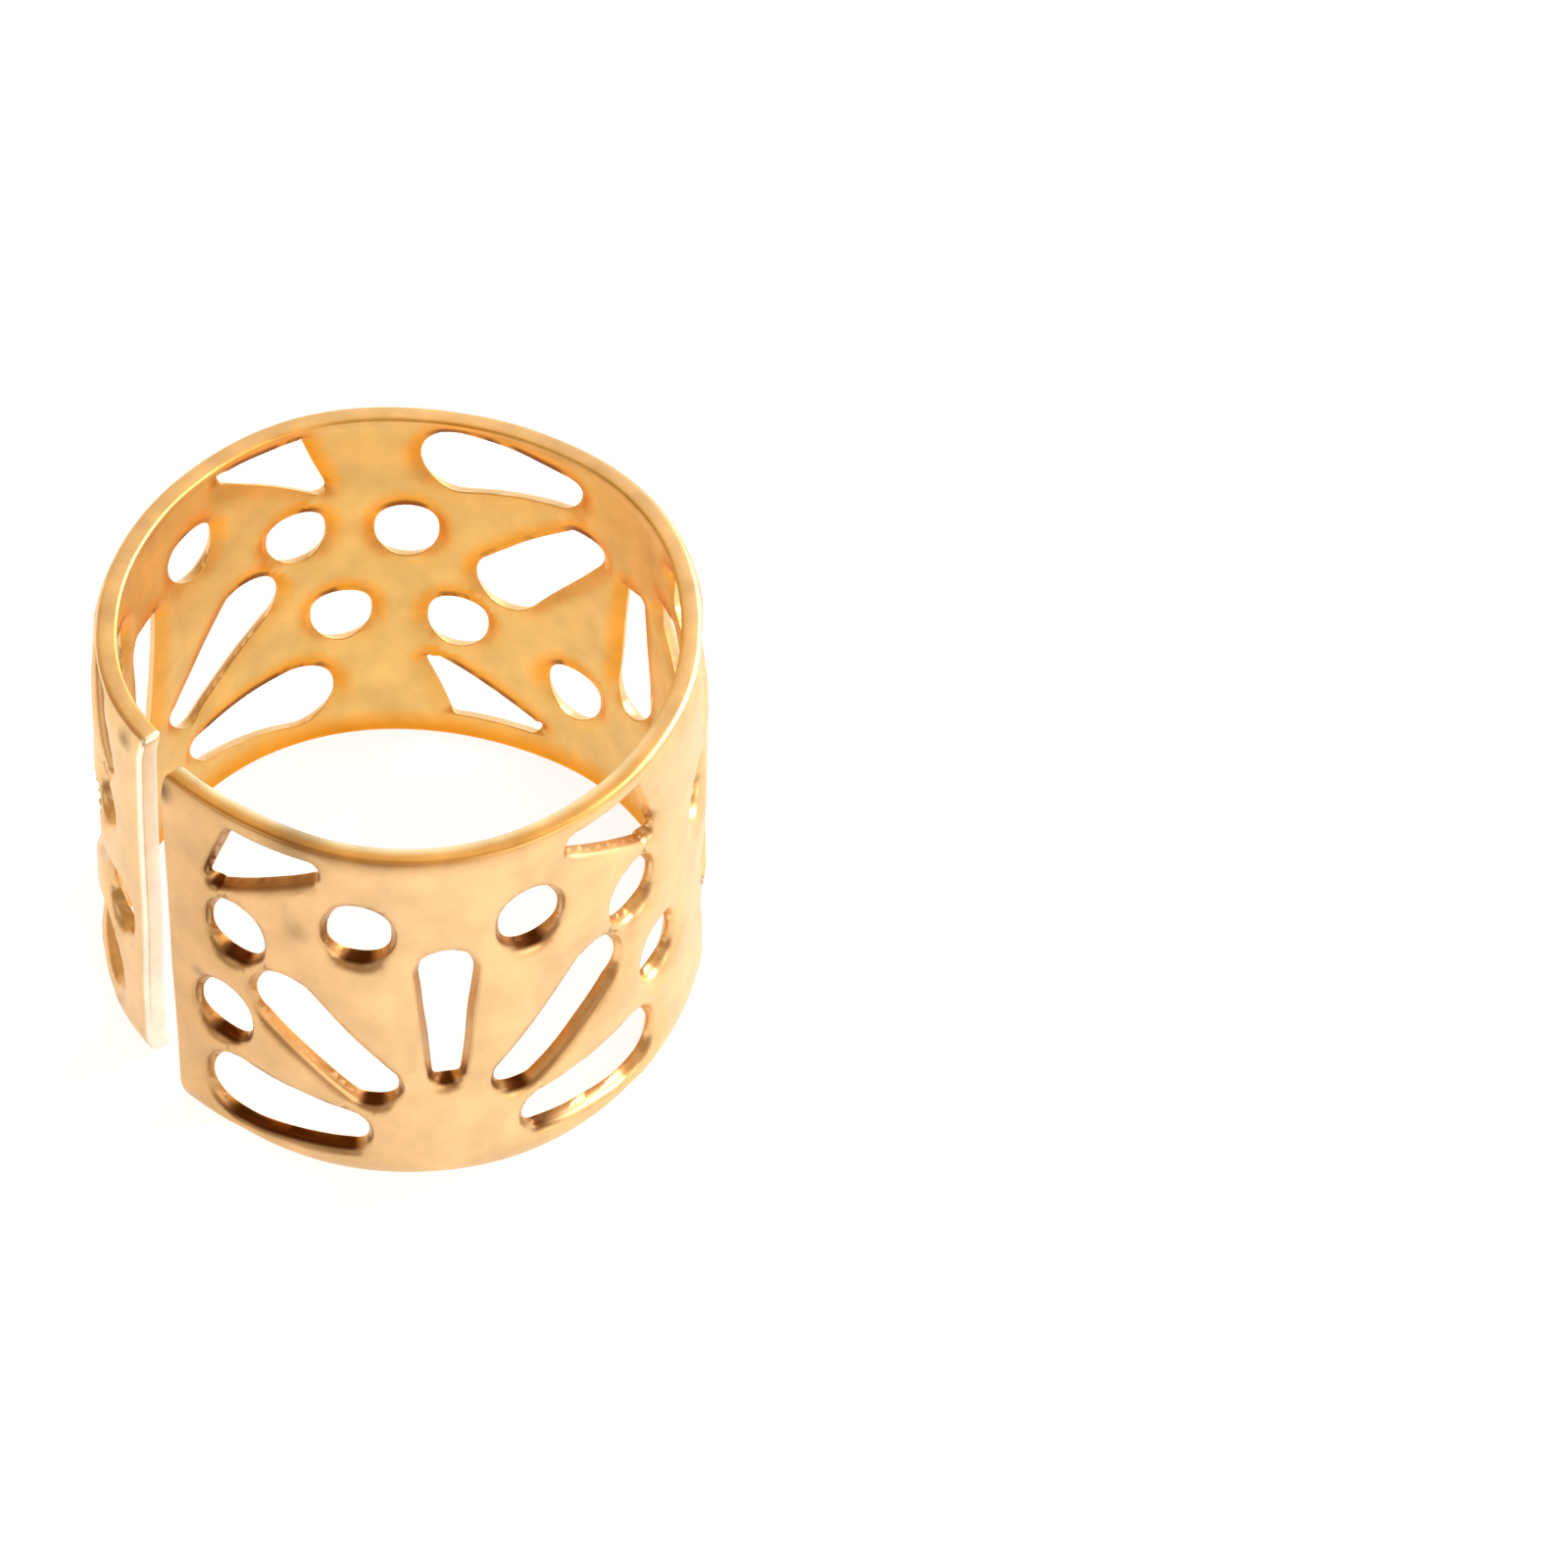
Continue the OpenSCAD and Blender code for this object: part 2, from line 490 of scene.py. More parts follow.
@dataclass(frozen=True)
class PalePaper:
    """The plain pale floor."""

    colour: Colour = (0.35, 0.35, 0.35)
    roughness: float = 0.7
    glow: float = 0.85

    def material(self, name: str) -> bpy.types.Material:
        """Builds the floor's finish.

        Args:
            name: The material's name.

        Returns:
            The material.
        """
        made = bpy.data.materials.new(name)
        made.use_nodes = True
        graph = Graph(made.node_tree)
        shader = graph.add(
            "ShaderNodeBsdfPrincipled",
            {},
            {
                "Base Color": (*self.colour, 1),
                "Roughness": self.roughness,
                "Emission Color": (1, 1, 1, 1),
                "Emission Strength": self.glow,
            },
        )
        graph.add("ShaderNodeOutputMaterial", {}, {"Surface": shader.out("BSDF")})
        return made


class Bend(NamedTuple):
    """One arc of the roll."""

    turn_deg: float
    radius_share: float


class Arc(NamedTuple):
    """One arc of the roll, worked out: mid-sheet radius, start and centre."""

    start: float
    length: float
    radius: float
    heading: float
    centre: Vector


@dataclass
class RolledStrip:
    """The sheet and the way that it is rolled, from the front end to the far end.

    Lengths are in millimetres. The arcs are tangent, and their outside radii
    are shares of the mean outside radius.
    """

    height: float
    sheet: float = 0.36
    mean_d: float = 10.4
    roll_deg: float = 356
    start_heading: float = -50
    end_trim: float = 0.25
    corner: float = 0.12
    outline_steps: int = 2000
    bends: tuple[Bend, ...] = (
        Bend(22, 1.28),
        Bend(70, 0.835),
        Bend(61, 1.155),
        Bend(37, 0.885),
        Bend(39, 1.065),
        Bend(39, 0.84),
        Bend(52, 1.075),
        Bend(0, 0.845),
    )
    arcs: list[Arc] = field(init=False)
    length: float = field(init=False)
    middle: Vector = field(init=False)

    def __post_init__(self) -> None:
        """Works out the arcs, the strip's length and the middle of the rolled outline."""
        left = self.roll_deg - sum(bend.turn_deg for bend in self.bends)
        self.arcs, start, point = [], 0.0, Vector((0, 0))
        heading = math.radians(self.start_heading)
        for bend in self.bends:
            turn = math.radians(bend.turn_deg or left)
            outside = bend.radius_share * self.mean_d / 2
            radius = outside - self.sheet / 2
            centre = point + outside * self._leftward(heading)
            self.arcs.append(Arc(start, radius * turn, radius, heading, centre))
            start += radius * turn
            heading += turn
            point = centre - outside * self._leftward(heading)
        self.length = start
        self.middle = Vector((0, 0))
        step = self.length / self.outline_steps
        outline = [self.rolled(Vector((step * k, 0, 0))) for k in range(self.outline_steps + 1)]
        self.middle = Vector(
            (max(p[axis] for p in outline) + min(p[axis] for p in outline)) / 2 for axis in (0, 1)
        )

    @staticmethod
    def _leftward(heading: float) -> Vector:
        """The direction square to a heading, towards the inside of the roll."""
        return Vector((-math.sin(heading), math.cos(heading)))

    def arc_at(self, along: float) -> Arc:
        """The arc that holds a place along the strip."""
        return next((arc for arc in reversed(self.arcs) if along >= arc.start), self.arcs[0])

    def heading_at(self, along: float) -> float:
        """The strip's direction at a place along it, in radians."""
        arc = self.arc_at(along)
        return arc.heading + (along - arc.start) / arc.radius

    def rolled(self, flat: Vector) -> Vector:
        """The place in the rolled strip of a point of the flat one.

        Args:
            flat: Along the strip, depth below the outside face, height.

        Returns:
            The point in the bead's own frame, in millimetres.
        """
        arc = self.arc_at(flat.x)
        inward = self._leftward(self.heading_at(flat.x))
        outside = arc.centre - (arc.radius + self.sheet / 2 - flat.y) * inward - self.middle
        return Vector((outside.x, outside.y, flat.z))


class Disc(NamedTuple):
    """A circle that an outline runs round."""

    along: float
    up: float
    radius: float


class Ring(NamedTuple):
    """One ring of an edge's profile: how far out from the outline, and how deep."""

    grow: float
    depth: float


class Easing(NamedTuple):
    """How far an edge's rounding reaches along the face and down the wall."""

    along: float
    down: float


@dataclass(frozen=True)
class Outline:
    """A closed convex outline: circles, listed anticlockwise, and the sides that touch them."""

    discs: tuple[Disc, ...]

    def swings(self) -> list[float]:
        """Finds where each circle's next side touches it.

        Returns:
            The direction from each circle's centre to that point, in radians.
        """
        found = []
        for one, two in zip(self.discs, self.discs[1:] + self.discs[:1]):
            along, up = two.along - one.along, two.up - one.up
            tilt = math.acos((one.radius - two.radius) / math.hypot(along, up))
            found.append(math.atan2(up, along) - tilt)
        return found

    def sweep(self, mesh: bmesh.types.BMesh, ring: Ring, step: float) -> None:
        """Sweeps the outline into an empty mesh as one closed ring of edges.

        Args:
            mesh: The mesh that the ring goes into.
            ring: How far the ring stands outside the outline, and its depth.
            step: Turn of one edge round a circle, in radians.
        """
        swings = self.swings()
        first = last = None
        for place, disc in enumerate(self.discs):
            begin = swings[place - 1]
            turn = (swings[place] - begin) % (2 * math.pi)
            centre = Vector((disc.along, ring.depth, disc.up))
            reach = Vector((math.cos(begin), 0, math.sin(begin))) * (disc.radius + ring.grow)
            start = mesh.verts.new(centre + reach)
            if last is None:
                first = start
            else:
                mesh.edges.new((last, start))
            swept = bmesh.ops.spin(
                mesh,
                geom=[start],
                cent=centre,
                axis=(0, -1, 0),
                angle=turn,
                steps=max(2, math.ceil(turn / step)),
            )
            last = next(item for item in swept["geom_last"] if isinstance(item, bmesh.types.BMVert))
        mesh.edges.new((last, first))

    def moved(self, place: Vector, now: Ring, after: Ring) -> Vector:
        """Where a point of one ring of the outline lies on another ring.

        Args:
            place: The point on the ring it is on now.
            now: That ring.
            after: The ring that it goes to.

        Returns:
            The point on the other ring.
        """

        def off(disc: Disc) -> float:
            """How far the point lies from the ring round one circle."""
            away = math.hypot(place.x - disc.along, place.z - disc.up)
            return abs(away - disc.radius - now.grow)

        disc = min(self.discs, key=off)
        centre = Vector((disc.along, 0, disc.up))
        reach = Vector((place.x, 0, place.z)) - centre
        grown = centre + reach * (disc.radius + after.grow) / (disc.radius + now.grow)
        return Vector((grown.x, after.depth, grown.z))

    def distance(self, places: np.ndarray) -> np.ndarray:
        """How far points lie outside the outline.

        Args:
            places: The points, as rows of along and up.

        Returns:
            The distance of each, which is negative just inside the outline.
        """
        nearest = np.full(len(places), np.inf)
        slimmest = min(disc.radius for disc in self.discs)
        for disc, after, swing in zip(self.discs, self.discs[1:] + self.discs[:1], self.swings()):
            away = places - (disc.along, disc.up)
            nearest = np.minimum(nearest, np.hypot(*away.T) - disc.radius)
            out = np.array((math.cos(swing), math.sin(swing)))
            start = np.array((disc.along, disc.up)) + out * disc.radius
            end = np.array((after.along, after.up)) + out * after.radius
            side = end - start
            share = (places - start) @ side / (side @ side)
            off = (places - start) @ out
            beside = (share > 0) & (share < 1) & (off > -slimmest)
            nearest = np.where(beside, np.minimum(nearest, off), nearest)
        return nearest


def placed(discs: Iterable[Disc], turn: float, mirrored: bool, along: float, up: float) -> Outline:
    """Turns, mirrors and moves a drawn shape.

    Args:
        discs: The shape's circles, anticlockwise.
        turn: Its turn, anticlockwise, in radians.
        mirrored: Whether it is mirrored left to right, before it is moved.
        along: How far it is moved along the strip.
        up: How far it is moved up.

    Returns:
        The outline, still listed anticlockwise.
    """
    cos, sin = math.cos(turn), math.sin(turn)
    moved = []
    for disc in discs:
        x, y = cos * disc.along - sin * disc.up, sin * disc.along + cos * disc.up
        moved.append(Disc(along + (-x if mirrored else x), up + y, disc.radius))
    return Outline(tuple(reversed(moved)) if mirrored else tuple(moved))


class Stance(Enum):
    """The rim that a half daisy grows from."""

    STANDS = "lower rim"
    HANGS = "upper rim"


class Daisy(NamedTuple):
    """Where a half daisy sits, how far off its outermost dots are and how far it was punched too high."""

    place_share: float
    stance: Stance
    left_dot_share: float
    right_dot_share: float
    rise_share: float


class Petal(NamedTuple):
    """A petal on one side of a daisy's middle."""

    angle_deg: float
    reach_share: float
    width_share: float
    root_share: float


class Dot(NamedTuple):
    """A round hole on one side of a daisy's middle."""

    pitch_share: float
    height_share: float


@dataclass(frozen=True)
class HalfDaisies:
    """The holes of the strip: half daisies that stand and hang in turn, with dots and corners."""

    strip_length: float
    height: float
    heart_up: float = 0.95
    petal_root: float = 1.25
    petal_reach: float = 4.25
    petal_w: float = 1.45
    root_w: float = 0.85
    dot_w: float = 1.12
    dot_h: float = 1.22
    rim_margin: float = 0.34
    corner_l: float = 2.1
    corner_h: float = 1.4
    corner_r: float = 0.18
    corner_at: float = 0.2
    corner_lean: float = 0.18
    outer_dot_up: float = 0.37
    daisies: tuple[Daisy, ...] = (
        Daisy(0.165, Stance.STANDS, 0.377, 0.426, -0.0068),
        Daisy(0.507, Stance.HANGS, 0.436, 0.425, 0.0054),
        Daisy(0.832, Stance.STANDS, 0.427, 0.4, 0.0068),
    )
    petals: tuple[Petal, ...] = (
        Petal(1, 1, 1, 1),
        Petal(45, 1.03, 0.87, 1),
        Petal(90, 1.02, 0.66, 0.6),
    )
    dots: tuple[Dot, ...] = (Dot(0.137, 0.765), Dot(0.351, 0.645))

    @property
    def pitch(self) -> float:
        """Length of the strip that one daisy has."""
        return self.strip_length / len(self.daisies)

    def petal(self, petal: Petal) -> tuple[Disc, ...]:
        """Draws a petal that lies along +X from its daisy's heart.

        Args:
            petal: The petal's shares of the common sizes.

        Returns:
            The circles at its root and its round end.
        """
        root, end = petal.root_share * self.root_w / 2, petal.width_share * self.petal_w / 2
        reach = petal.reach_share * self.petal_reach
        return Disc(self.petal_root + root, 0, root), Disc(reach - end, 0, end)

    def dot(self) -> tuple[Disc, ...]:
        """An upright oval hole round the origin."""
        rise = (self.dot_h - self.dot_w) / 2
        return Disc(0, -rise, self.dot_w / 2), Disc(0, rise, self.dot_w / 2)

    def corner(self) -> tuple[Disc, ...]:
        """Draws the corner hole to the right of a daisy's middle.

        Returns:
            The circles in its three corners.
        """
        top = self.height - self.rim_margin - self.corner_r
        near = self.corner_at * self.pitch + self.corner_r
        far = near + self.corner_l - 2 * self.corner_r
        return (
            Disc(far, top - self.corner_h + 2 * self.corner_r, self.corner_r),
            Disc(far - self.corner_lean * self.corner_l, top, self.corner_r),
            Disc(near, top, self.corner_r),
        )

    def round_one(self, daisy: Daisy) -> Iterable[Outline]:
        """Draws the holes round one daisy, as if it stood at the strip's start.

        Args:
            daisy: The daisy, whose outermost dots have places of their own.

        Yields:
            The holes' outlines.
        """
        for mirrored in (True, False):
            for petal in self.petals:
                if petal.angle_deg < 90 or not mirrored:
                    turn = math.radians(petal.angle_deg)
                    yield placed(self.petal(petal), turn, mirrored, 0, self.heart_up)
            side = -1 if mirrored else 1
            outer = daisy.left_dot_share if mirrored else daisy.right_dot_share
            for dot in (*self.dots, Dot(outer, self.outer_dot_up)):
                along, up = side * dot.pitch_share * self.pitch, dot.height_share * self.height
                yield placed(self.dot(), 0, False, along, up)
            yield placed(self.corner(), 0, mirrored, 0, 0)

    def outlines(self) -> list[Outline]:
        """Draws every hole in its place on the flat strip.

        Returns:
            The holes' outlines.
        """
        found = []
        for daisy in self.daisies:
            along = daisy.place_share * self.strip_length
            turn, rim = (math.pi, self.height) if daisy.stance is Stance.HANGS else (0, 0)
            for hole in self.round_one(daisy):
                up = rim + daisy.rise_share * self.height
                found.append(placed(hole.discs, turn, False, along, up))
        return found


@dataclass
class CuffBand:
    """The visual mesh of the bead, drawn flat and rolled.

    All the edges are rounded by wear, and the sheet bends inwards a little
    round each hole. Lengths are in millimetres.
    """

    strip: RolledStrip
    holes: list[Outline]
    hole_outside: Easing = Easing(0.06, 0.1)
    hole_inside: Easing = Easing(0.03, 0.04)
    hole_flare: float = 0.03
    hole_tuck: float = 0.03
    rim_outside: Easing = Easing(0.05, 0.07)
    rim_inside: Easing = Easing(0.06, 0.09)
    rounding_deg: tuple[float, ...] = (0, 22, 45, 68, 90)
    lip_width: float = 0.28
    thinned: float = 0.22
    bend_over: float = 0.11
    bend_beside: float = -0.015
    rim_bend_width: float = 0.45
    rim_bend: float = 0.12
    support: float = 0.012
    cell_along: float = 0.13
    cell_up: float = 0.13
    arc_step: float = math.radians(12)
    dent_size: float = 2.2
    dent_depth: float = 0.03
    dent_start: tuple[float, float, float] = (7, 3, 5)
    waver_size: float = 0.9
    waver: float = 0.03
    waver_seed: int = 7
    nudge: float = 0.02
    soften: float = 0.1
    soften_passes: int = 3

    def edge_of_strip(self) -> Outline:
        """Draws the strip's own outline, with the foot of the front end trimmed back.

        Returns:
            The outline.
        """
        r, length, height = self.strip.corner, self.strip.length, self.strip.height
        return Outline(
            (
                Disc(self.strip.end_trim + r, r, r),
                Disc(length - r, r, r),
                Disc(length - r, height - r, r),
                Disc(r, height - r, r),
            )
        )

    def profile(self, outside: Easing, inside: Easing, side: int, flare: float, tuck: float) -> list[Ring]:
        """The profile of an edge, from the outside face to the inside one.

        Args:
            outside: The rounding at the outside face.
            inside: The rounding at the inside face.
            side: 1 where the sheet lies outside the outline, as at a hole, and -1 where it lies inside.
            flare: How far the wall stands outside the outline under the outside rounding.
            tuck: How far it stands inside the outline at the inside rounding.

        Returns:
            The rings.
        """
        sheet, turns = self.strip.sheet, [math.radians(angle) for angle in self.rounding_deg]
        outer = [
            Ring(
                flare + side * outside.along * (1 - math.sin(turn)),
                outside.down * (1 - math.cos(turn)),
            )
            for turn in turns
        ]
        inner = [
            Ring(
                side * inside.along * (1 - math.sin(turn)) - tuck,
                sheet - inside.down * (1 - math.cos(turn)),
            )
            for turn in reversed(turns)
        ]
        first = Ring(flare + side * (outside.along + self.support), 0)
        last = Ring(side * (inside.along + self.support) - tuck, sheet)
        return [first, *outer, *inner, last]

    def wall(self, outline: Outline, profile: list[Ring]) -> bmesh.types.BMesh:
        """Builds the wall that joins the two faces round one outline.

        Args:
            outline: The hole or the strip's edge.
            profile: The wall's rings, from the outside face to the inside one.

        Returns:
            The wall's own mesh.
        """
        mesh = bmesh.new()
        outline.sweep(mesh, profile[0], self.arc_step)
        edges = mesh.edges[:]
        for now, after in zip(profile, profile[1:]):
            made = bmesh.ops.extrude_edge_only(mesh, edges=edges)["geom"]
            edges = [item for item in made if isinstance(item, bmesh.types.BMEdge)]
            for vert in (item for item in made if isinstance(item, bmesh.types.BMVert)):
                vert.co = outline.moved(vert.co, now, after)
        return mesh

    def flat_mesh(self) -> bmesh.types.BMesh:
        """Draws the pierced strip flat, with both faces filled and cut into small cells.

        Returns:
            The flat mesh.
        """
        mesh = bmesh.new()
        carrier = bpy.data.meshes.new("one_wall")
        rim = self.profile(self.rim_outside, self.rim_inside, -1, 0, 0)
        walls = [(self.edge_of_strip(), rim)]
        pierced = self.profile(
            self.hole_outside, self.hole_inside, 1, self.hole_flare, self.hole_tuck
        )
        walls += [(hole, pierced) for hole in self.holes]
        for outline, profile in walls:
            wall = self.wall(outline, profile)
            wall.to_mesh(carrier)
            wall.free()
            mesh.from_mesh(carrier)
        bpy.data.meshes.remove(carrier)
        half = self.strip.sheet / 2
        borders = [edge for edge in mesh.edges if edge.is_boundary]
        for facing in (-1, 1):
            bmesh.ops.triangle_fill(
                mesh,
                use_beauty=True,
                edges=[edge for edge in borders if (edge.verts[0].co.y - half) * facing > 0],
                normal=(0, facing, 0),
            )
        self.cut(mesh, Vector((1, 0, 0)), self.strip.length, self.cell_along)
        self.cut(mesh, Vector((0, 0, 1)), self.strip.height, self.cell_up)
        bmesh.ops.recalc_face_normals(mesh, faces=mesh.faces[:])
        return mesh

    @staticmethod
    def cut(mesh: bmesh.types.BMesh, axis: Vector, reach: float, cell: float) -> None:
        """Cuts a mesh square to an axis into equal lengths.

        Args:
            mesh: The mesh.
            axis: The axis, of length 1.
            reach: How far the mesh reaches along it, from the origin.
            cell: The length of one cell, about.
        """
        count = round(reach / cell)
        for k in range(1, count):
            bmesh.ops.bisect_plane(
                mesh,
                geom=mesh.verts[:] + mesh.edges[:] + mesh.faces[:],
                dist=ON_PLANE,
                plane_co=axis * (reach * k / count),
                plane_no=axis,
            )

    def punch_in(self, mesh: bmesh.types.BMesh) -> None:
        """Bends the sheet inwards and thins it by each hole, as the punch has left it, least beside one.

        Args:
            mesh: The flat mesh, which is changed.
        """
        away, over = (mesh.verts.layers.float[name] for name in (FROM_HOLE, OVER_HOLE))
        for vert in mesh.verts:
            near = (1 - min(1, vert[away] / self.lip_width)) ** 2
            bend = self.bend_beside + (self.bend_over - self.bend_beside) * min(1, vert[over] ** 2)
            vert.co.y += near * (bend + self.thinned * (0.5 - vert.co.y / self.strip.sheet))

    def turn_in(self, mesh: bmesh.types.BMesh) -> None:
        """Bends the sheet inwards towards its two rims, about its true place.

        Args:
            mesh: The flat mesh, which is changed.
        """
        for vert in mesh.verts:
            inset = min(vert.co.z, self.strip.height - vert.co.z)
            near = (1 - min(1, max(0, inset) / self.rim_bend_width)) ** 2
            vert.co.y += self.rim_bend * (near - 0.5)

    def from_holes(self, places: np.ndarray) -> np.ndarray:
        """How far points of the flat strip, as rows of along and up, lie from the nearest hole."""
        return np.min([hole.distance(places) for hole in self.holes], axis=0)

    def mark(self, mesh: bmesh.types.BMesh) -> None:
        """Notes for the finish where each point is.

        That is its place on the flat strip, its distance from the nearest hole
        and whether it lies over that hole, 1, beside it, 0, or under it, -1.

        Args:
            mesh: The flat mesh.
        """
        flat = mesh.verts.layers.float_vector.new(FLAT)
        away = mesh.verts.layers.float.new(FROM_HOLE)
        over = mesh.verts.layers.float.new(OVER_HOLE)
        places = np.array([(vert.co.x, vert.co.z) for vert in mesh.verts])
        nudge = np.array((0, self.nudge))
        rises = (self.from_holes(places + nudge) - self.from_holes(places - nudge)) / self.nudge / 2
        for vert, distance, rise in zip(mesh.verts, self.from_holes(places), rises):
            vert[flat] = vert.co
            vert[away] = max(0, distance)
            vert[over] = rise

    def dent(self, mesh: bmesh.types.BMesh) -> None:
        """Gives the sheet its shallow dents and its edges their slight waver.

        Blender's vector noise starts at a new place in each run unless it is seeded.

        Args:
            mesh: The flat mesh, which is changed.
        """
        noise.seed_set(self.waver_seed)
        start = Vector(self.dent_start)
        for vert in mesh.verts:
            flat = Vector((vert.co.x, 0, vert.co.z))
            drift = noise.noise_vector(flat / self.waver_size) * self.waver
            inset = min(flat.z, self.strip.height - flat.z, flat.x, self.strip.length - flat.x)
            hold = min(1, max(0, inset) / self.strip.corner / 2)
            vert.co.x += drift.x * hold
            vert.co.z += drift.z * hold
            vert.co.y += noise.noise(flat / self.dent_size + start) * self.dent_depth

    def soft_normals(self, mesh: bmesh.types.BMesh) -> np.ndarray:
        """The points' normals, evened out over the two faces, whose cells meet the holes unevenly.

        Args:
            mesh: The flat mesh, bent and dented.

        Returns:
            The normals, as rows.
        """
        mesh.normal_update()
        mesh.verts.index_update()
        flat, sheet = mesh.verts.layers.float_vector[FLAT], self.strip.sheet
        normals = np.array([vert.normal for vert in mesh.verts])
        on_face = np.array([min(vert[flat].y, sheet - vert[flat].y) < ON_FACE for vert in mesh.verts])
        ends = np.array([[vert.index for vert in edge.verts] for edge in mesh.edges])
        lengths = np.array([edge.calc_length() for edge in mesh.edges])
        joined = on_face[ends].all(axis=1)
        one, two = ends[joined].T
        weight = np.exp(-((lengths[joined] / self.soften) ** 2))[:, np.newaxis]
        for _ in range(self.soften_passes):
            total = normals.copy()
            np.add.at(total, one, normals[two] * weight)
            np.add.at(total, two, normals[one] * weight)
            normals = total / np.linalg.norm(total, axis=1, keepdims=True)
        return normals

    def build(self, name: str) -> bpy.types.Object:
        """Builds the piece.

        Args:
            name: The piece's name.

        Returns:
            The piece, linked to the scene, in metres.
        """
        mesh = self.flat_mesh()
        self.mark(mesh)
        self.punch_in(mesh)
        self.turn_in(mesh)
        self.dent(mesh)
        normals = []
        for vert, normal in zip(mesh.verts, self.soft_normals(mesh)):
            turn = Matrix.Rotation(self.strip.heading_at(vert.co.x), 3, "Z")
            normals.append(turn @ Vector(normal))
            vert.co = self.strip.rolled(vert.co) * MM
        for face in mesh.faces:
            face.smooth = True
        data = bpy.data.meshes.new(name)
        mesh.to_mesh(data)
        mesh.free()
        data.normals_split_custom_set_from_vertices(normals)
        piece = bpy.data.objects.new(name, data)
        bpy.context.scene.collection.objects.link(piece)
        return piece


class Softbox(NamedTuple):
    """A soft light: its direction from the bead in degrees, 0 in front and 90 at the right."""

    name: str
    azimuth: float
    elevation: float
    away: float
    size: float
    watts: float


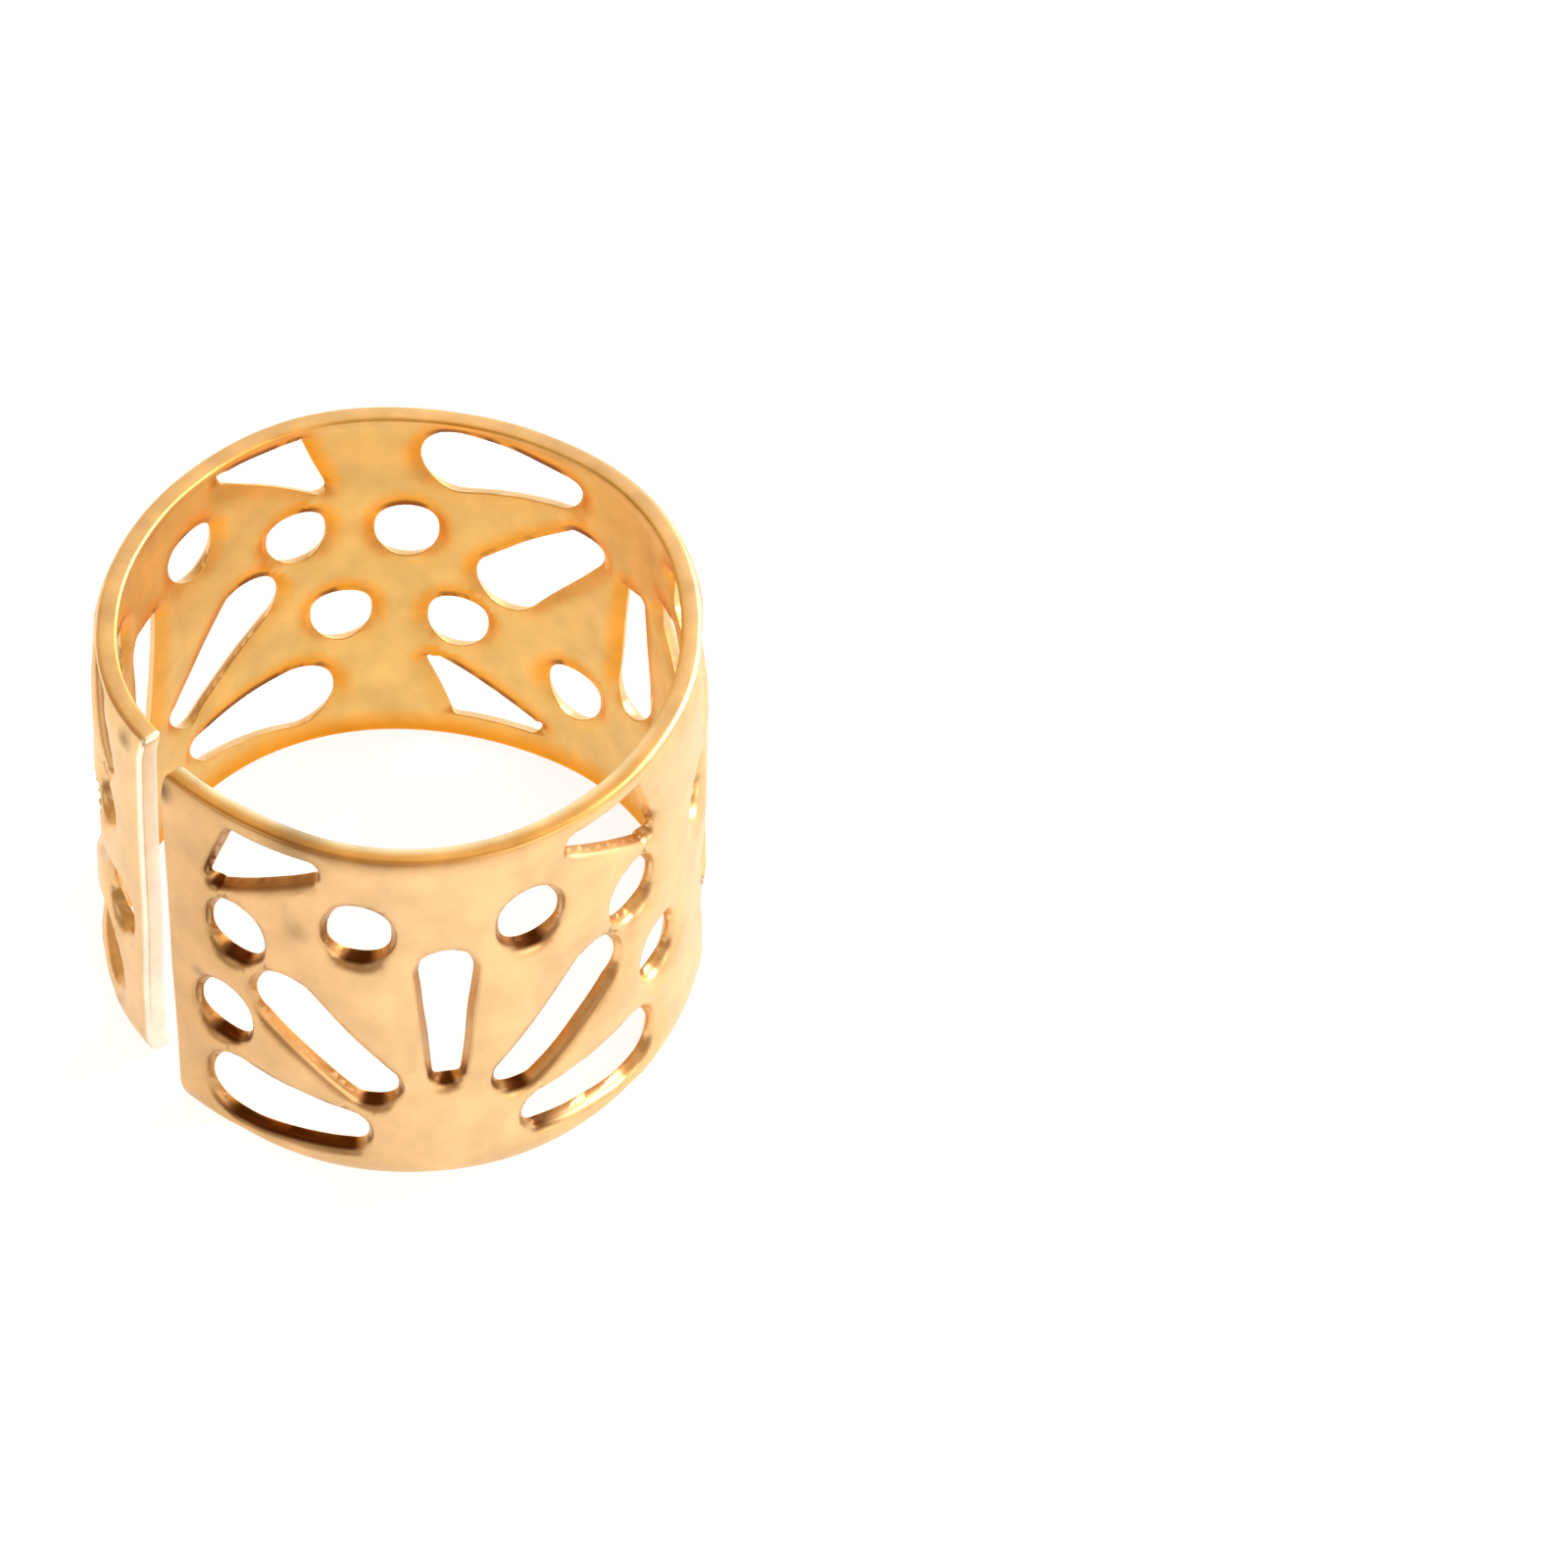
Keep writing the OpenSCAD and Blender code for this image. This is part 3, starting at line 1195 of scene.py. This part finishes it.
@dataclass
class Studio:
    """The pale floor, the soft lights and the camera. Lengths are in metres."""

    bead_top: float
    aim_x: float = -0.0165 * MM
    aim_y: float = -0.1308 * MM
    frame_px: float = 1600
    aim_px: tuple[float, float] = (407, 648)
    elevation: float = math.radians(45)
    roll: float = math.radians(-0.66)
    distance: float = 180 * MM
    px_per_mm: float = 62.3
    sensor: float = 36
    floor_reach: float = 1.2
    pale_side: tuple[float, float, float] = (0.65, 0.72, -0.3)
    room: tuple[tuple[float, Colour], ...] = (
        (0.05, (0.28, 0.17, 0.075)),
        (0.35, (0.6, 0.38, 0.17)),
        (0.62, (0.97, 0.76, 0.45)),
        (0.78, (1.0, 1.0, 0.97)),
    )
    softboxes: tuple[Softbox, ...] = (
        Softbox("back_right_light", 128, 36, 0.45, 0.26, 1.6),
        Softbox("left_light", -65, 35, 0.5, 0.3, 0.22),
        Softbox("front_right_light", 52, 30, 0.5, 0.3, 0.45),
        Softbox("front_light", -5, 50, 0.5, 0.2, 0.07),
    )

    def camera(self) -> None:
        """Sets the camera at the photo's angle, with the bead where the photo has it."""
        data = bpy.data.cameras.new("photo_camera")
        focal_px = self.px_per_mm * self.distance / MM
        data.sensor_width = self.sensor
        data.lens = focal_px / self.frame_px * self.sensor
        data.clip_start, data.clip_end = self.distance / 20, self.distance * 40
        camera = bpy.data.objects.new("photo_camera", data)
        bpy.context.scene.collection.objects.link(camera)
        aim = Vector((self.aim_x, self.aim_y, self.bead_top))
        away = Vector((0, -math.cos(self.elevation), math.sin(self.elevation)))
        right = Vector((1, 0, 0))
        up = away.cross(right)
        turned = Matrix((right, up, away)).transposed()
        off = [(px - self.frame_px / 2) / focal_px for px in self.aim_px]
        pan = Euler((math.atan(off[1]), math.atan(off[0]), 0)).to_matrix()
        lean = Matrix.Rotation(self.roll, 3, "Z")
        camera.matrix_world = Matrix.Translation(aim + away * self.distance) @ (
            turned @ lean @ pan
        ).to_4x4()
        bpy.context.scene.camera = camera

    def floor(self) -> None:
        """Lays the floor under the bead."""
        mesh = bmesh.new()
        bmesh.ops.create_grid(mesh, x_segments=1, y_segments=1, size=self.floor_reach)
        data = bpy.data.meshes.new("floor")
        mesh.to_mesh(data)
        mesh.free()
        piece = bpy.data.objects.new("floor", data)
        bpy.context.scene.collection.objects.link(piece)
        piece.data.materials.append(PalePaper().material("pale_paper"))

    def hang(self, box: Softbox) -> None:
        """Hangs one soft light that faces the bead.

        Args:
            box: The light's place, size and power.
        """
        data = bpy.data.lights.new(box.name, "AREA")
        data.shape, data.size, data.energy = "SQUARE", box.size, box.watts
        light = bpy.data.objects.new(box.name, data)
        bpy.context.scene.collection.objects.link(light)
        azimuth, elevation = math.radians(box.azimuth), math.radians(box.elevation)
        level = math.cos(elevation)
        back = Vector((math.sin(azimuth) * level, -math.cos(azimuth) * level, math.sin(elevation)))
        light.location = back * box.away
        light.rotation_euler = back.to_track_quat("Z", "Y").to_euler()

    def surround(self) -> None:
        """Lights the scene with a dim warm room that turns pale low down at the back right."""
        world = bpy.data.worlds.new("studio")
        bpy.context.scene.world = world
        world.use_nodes = True
        graph = Graph(world.node_tree)
        toward = graph.add("ShaderNodeTexCoord").out("Generated")
        facing = graph.add(
            "ShaderNodeVectorMath",
            {"operation": "DOT_PRODUCT"},
            {0: toward, 1: Vector(self.pale_side).normalized()},
        ).value("Value")
        tones = graph.add("ShaderNodeValToRGB", {"stops": self.room}, {"Fac": facing * 0.5 + 0.5})
        sky = graph.add("ShaderNodeBackground", {}, {"Color": tones.out("Color"), "Strength": 1.0})
        graph.add("ShaderNodeOutputWorld", {}, {"Surface": sky.out("Background")})

    def build(self) -> None:
        """Sets the whole stage."""
        self.camera()
        self.floor()
        self.surround()
        for box in self.softboxes:
            self.hang(box)
        bpy.context.scene.view_settings.view_transform = "Standard"


def main() -> None:
    """Builds the bead and its stage."""
    logging.basicConfig(level=logging.INFO, format="%(name)s: %(message)s")
    low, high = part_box(NODE)
    strip = RolledStrip(height=(high.z - low.z) / MM)
    holes = HalfDaisies(strip.length, strip.height).outlines()
    band = CuffBand(strip, holes).build("pierced_band")
    band.data.materials.append(PaleGold(strip.sheet, strip.length, strip.height).material("pale_gold"))
    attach(band, "root")
    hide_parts(NODE)
    LOG.info("%s: %d faces, %d holes", band.name, len(band.data.polygons), len(holes))
    Studio(bead_top=high.z).build()


if __name__ == "__main__":
    main()
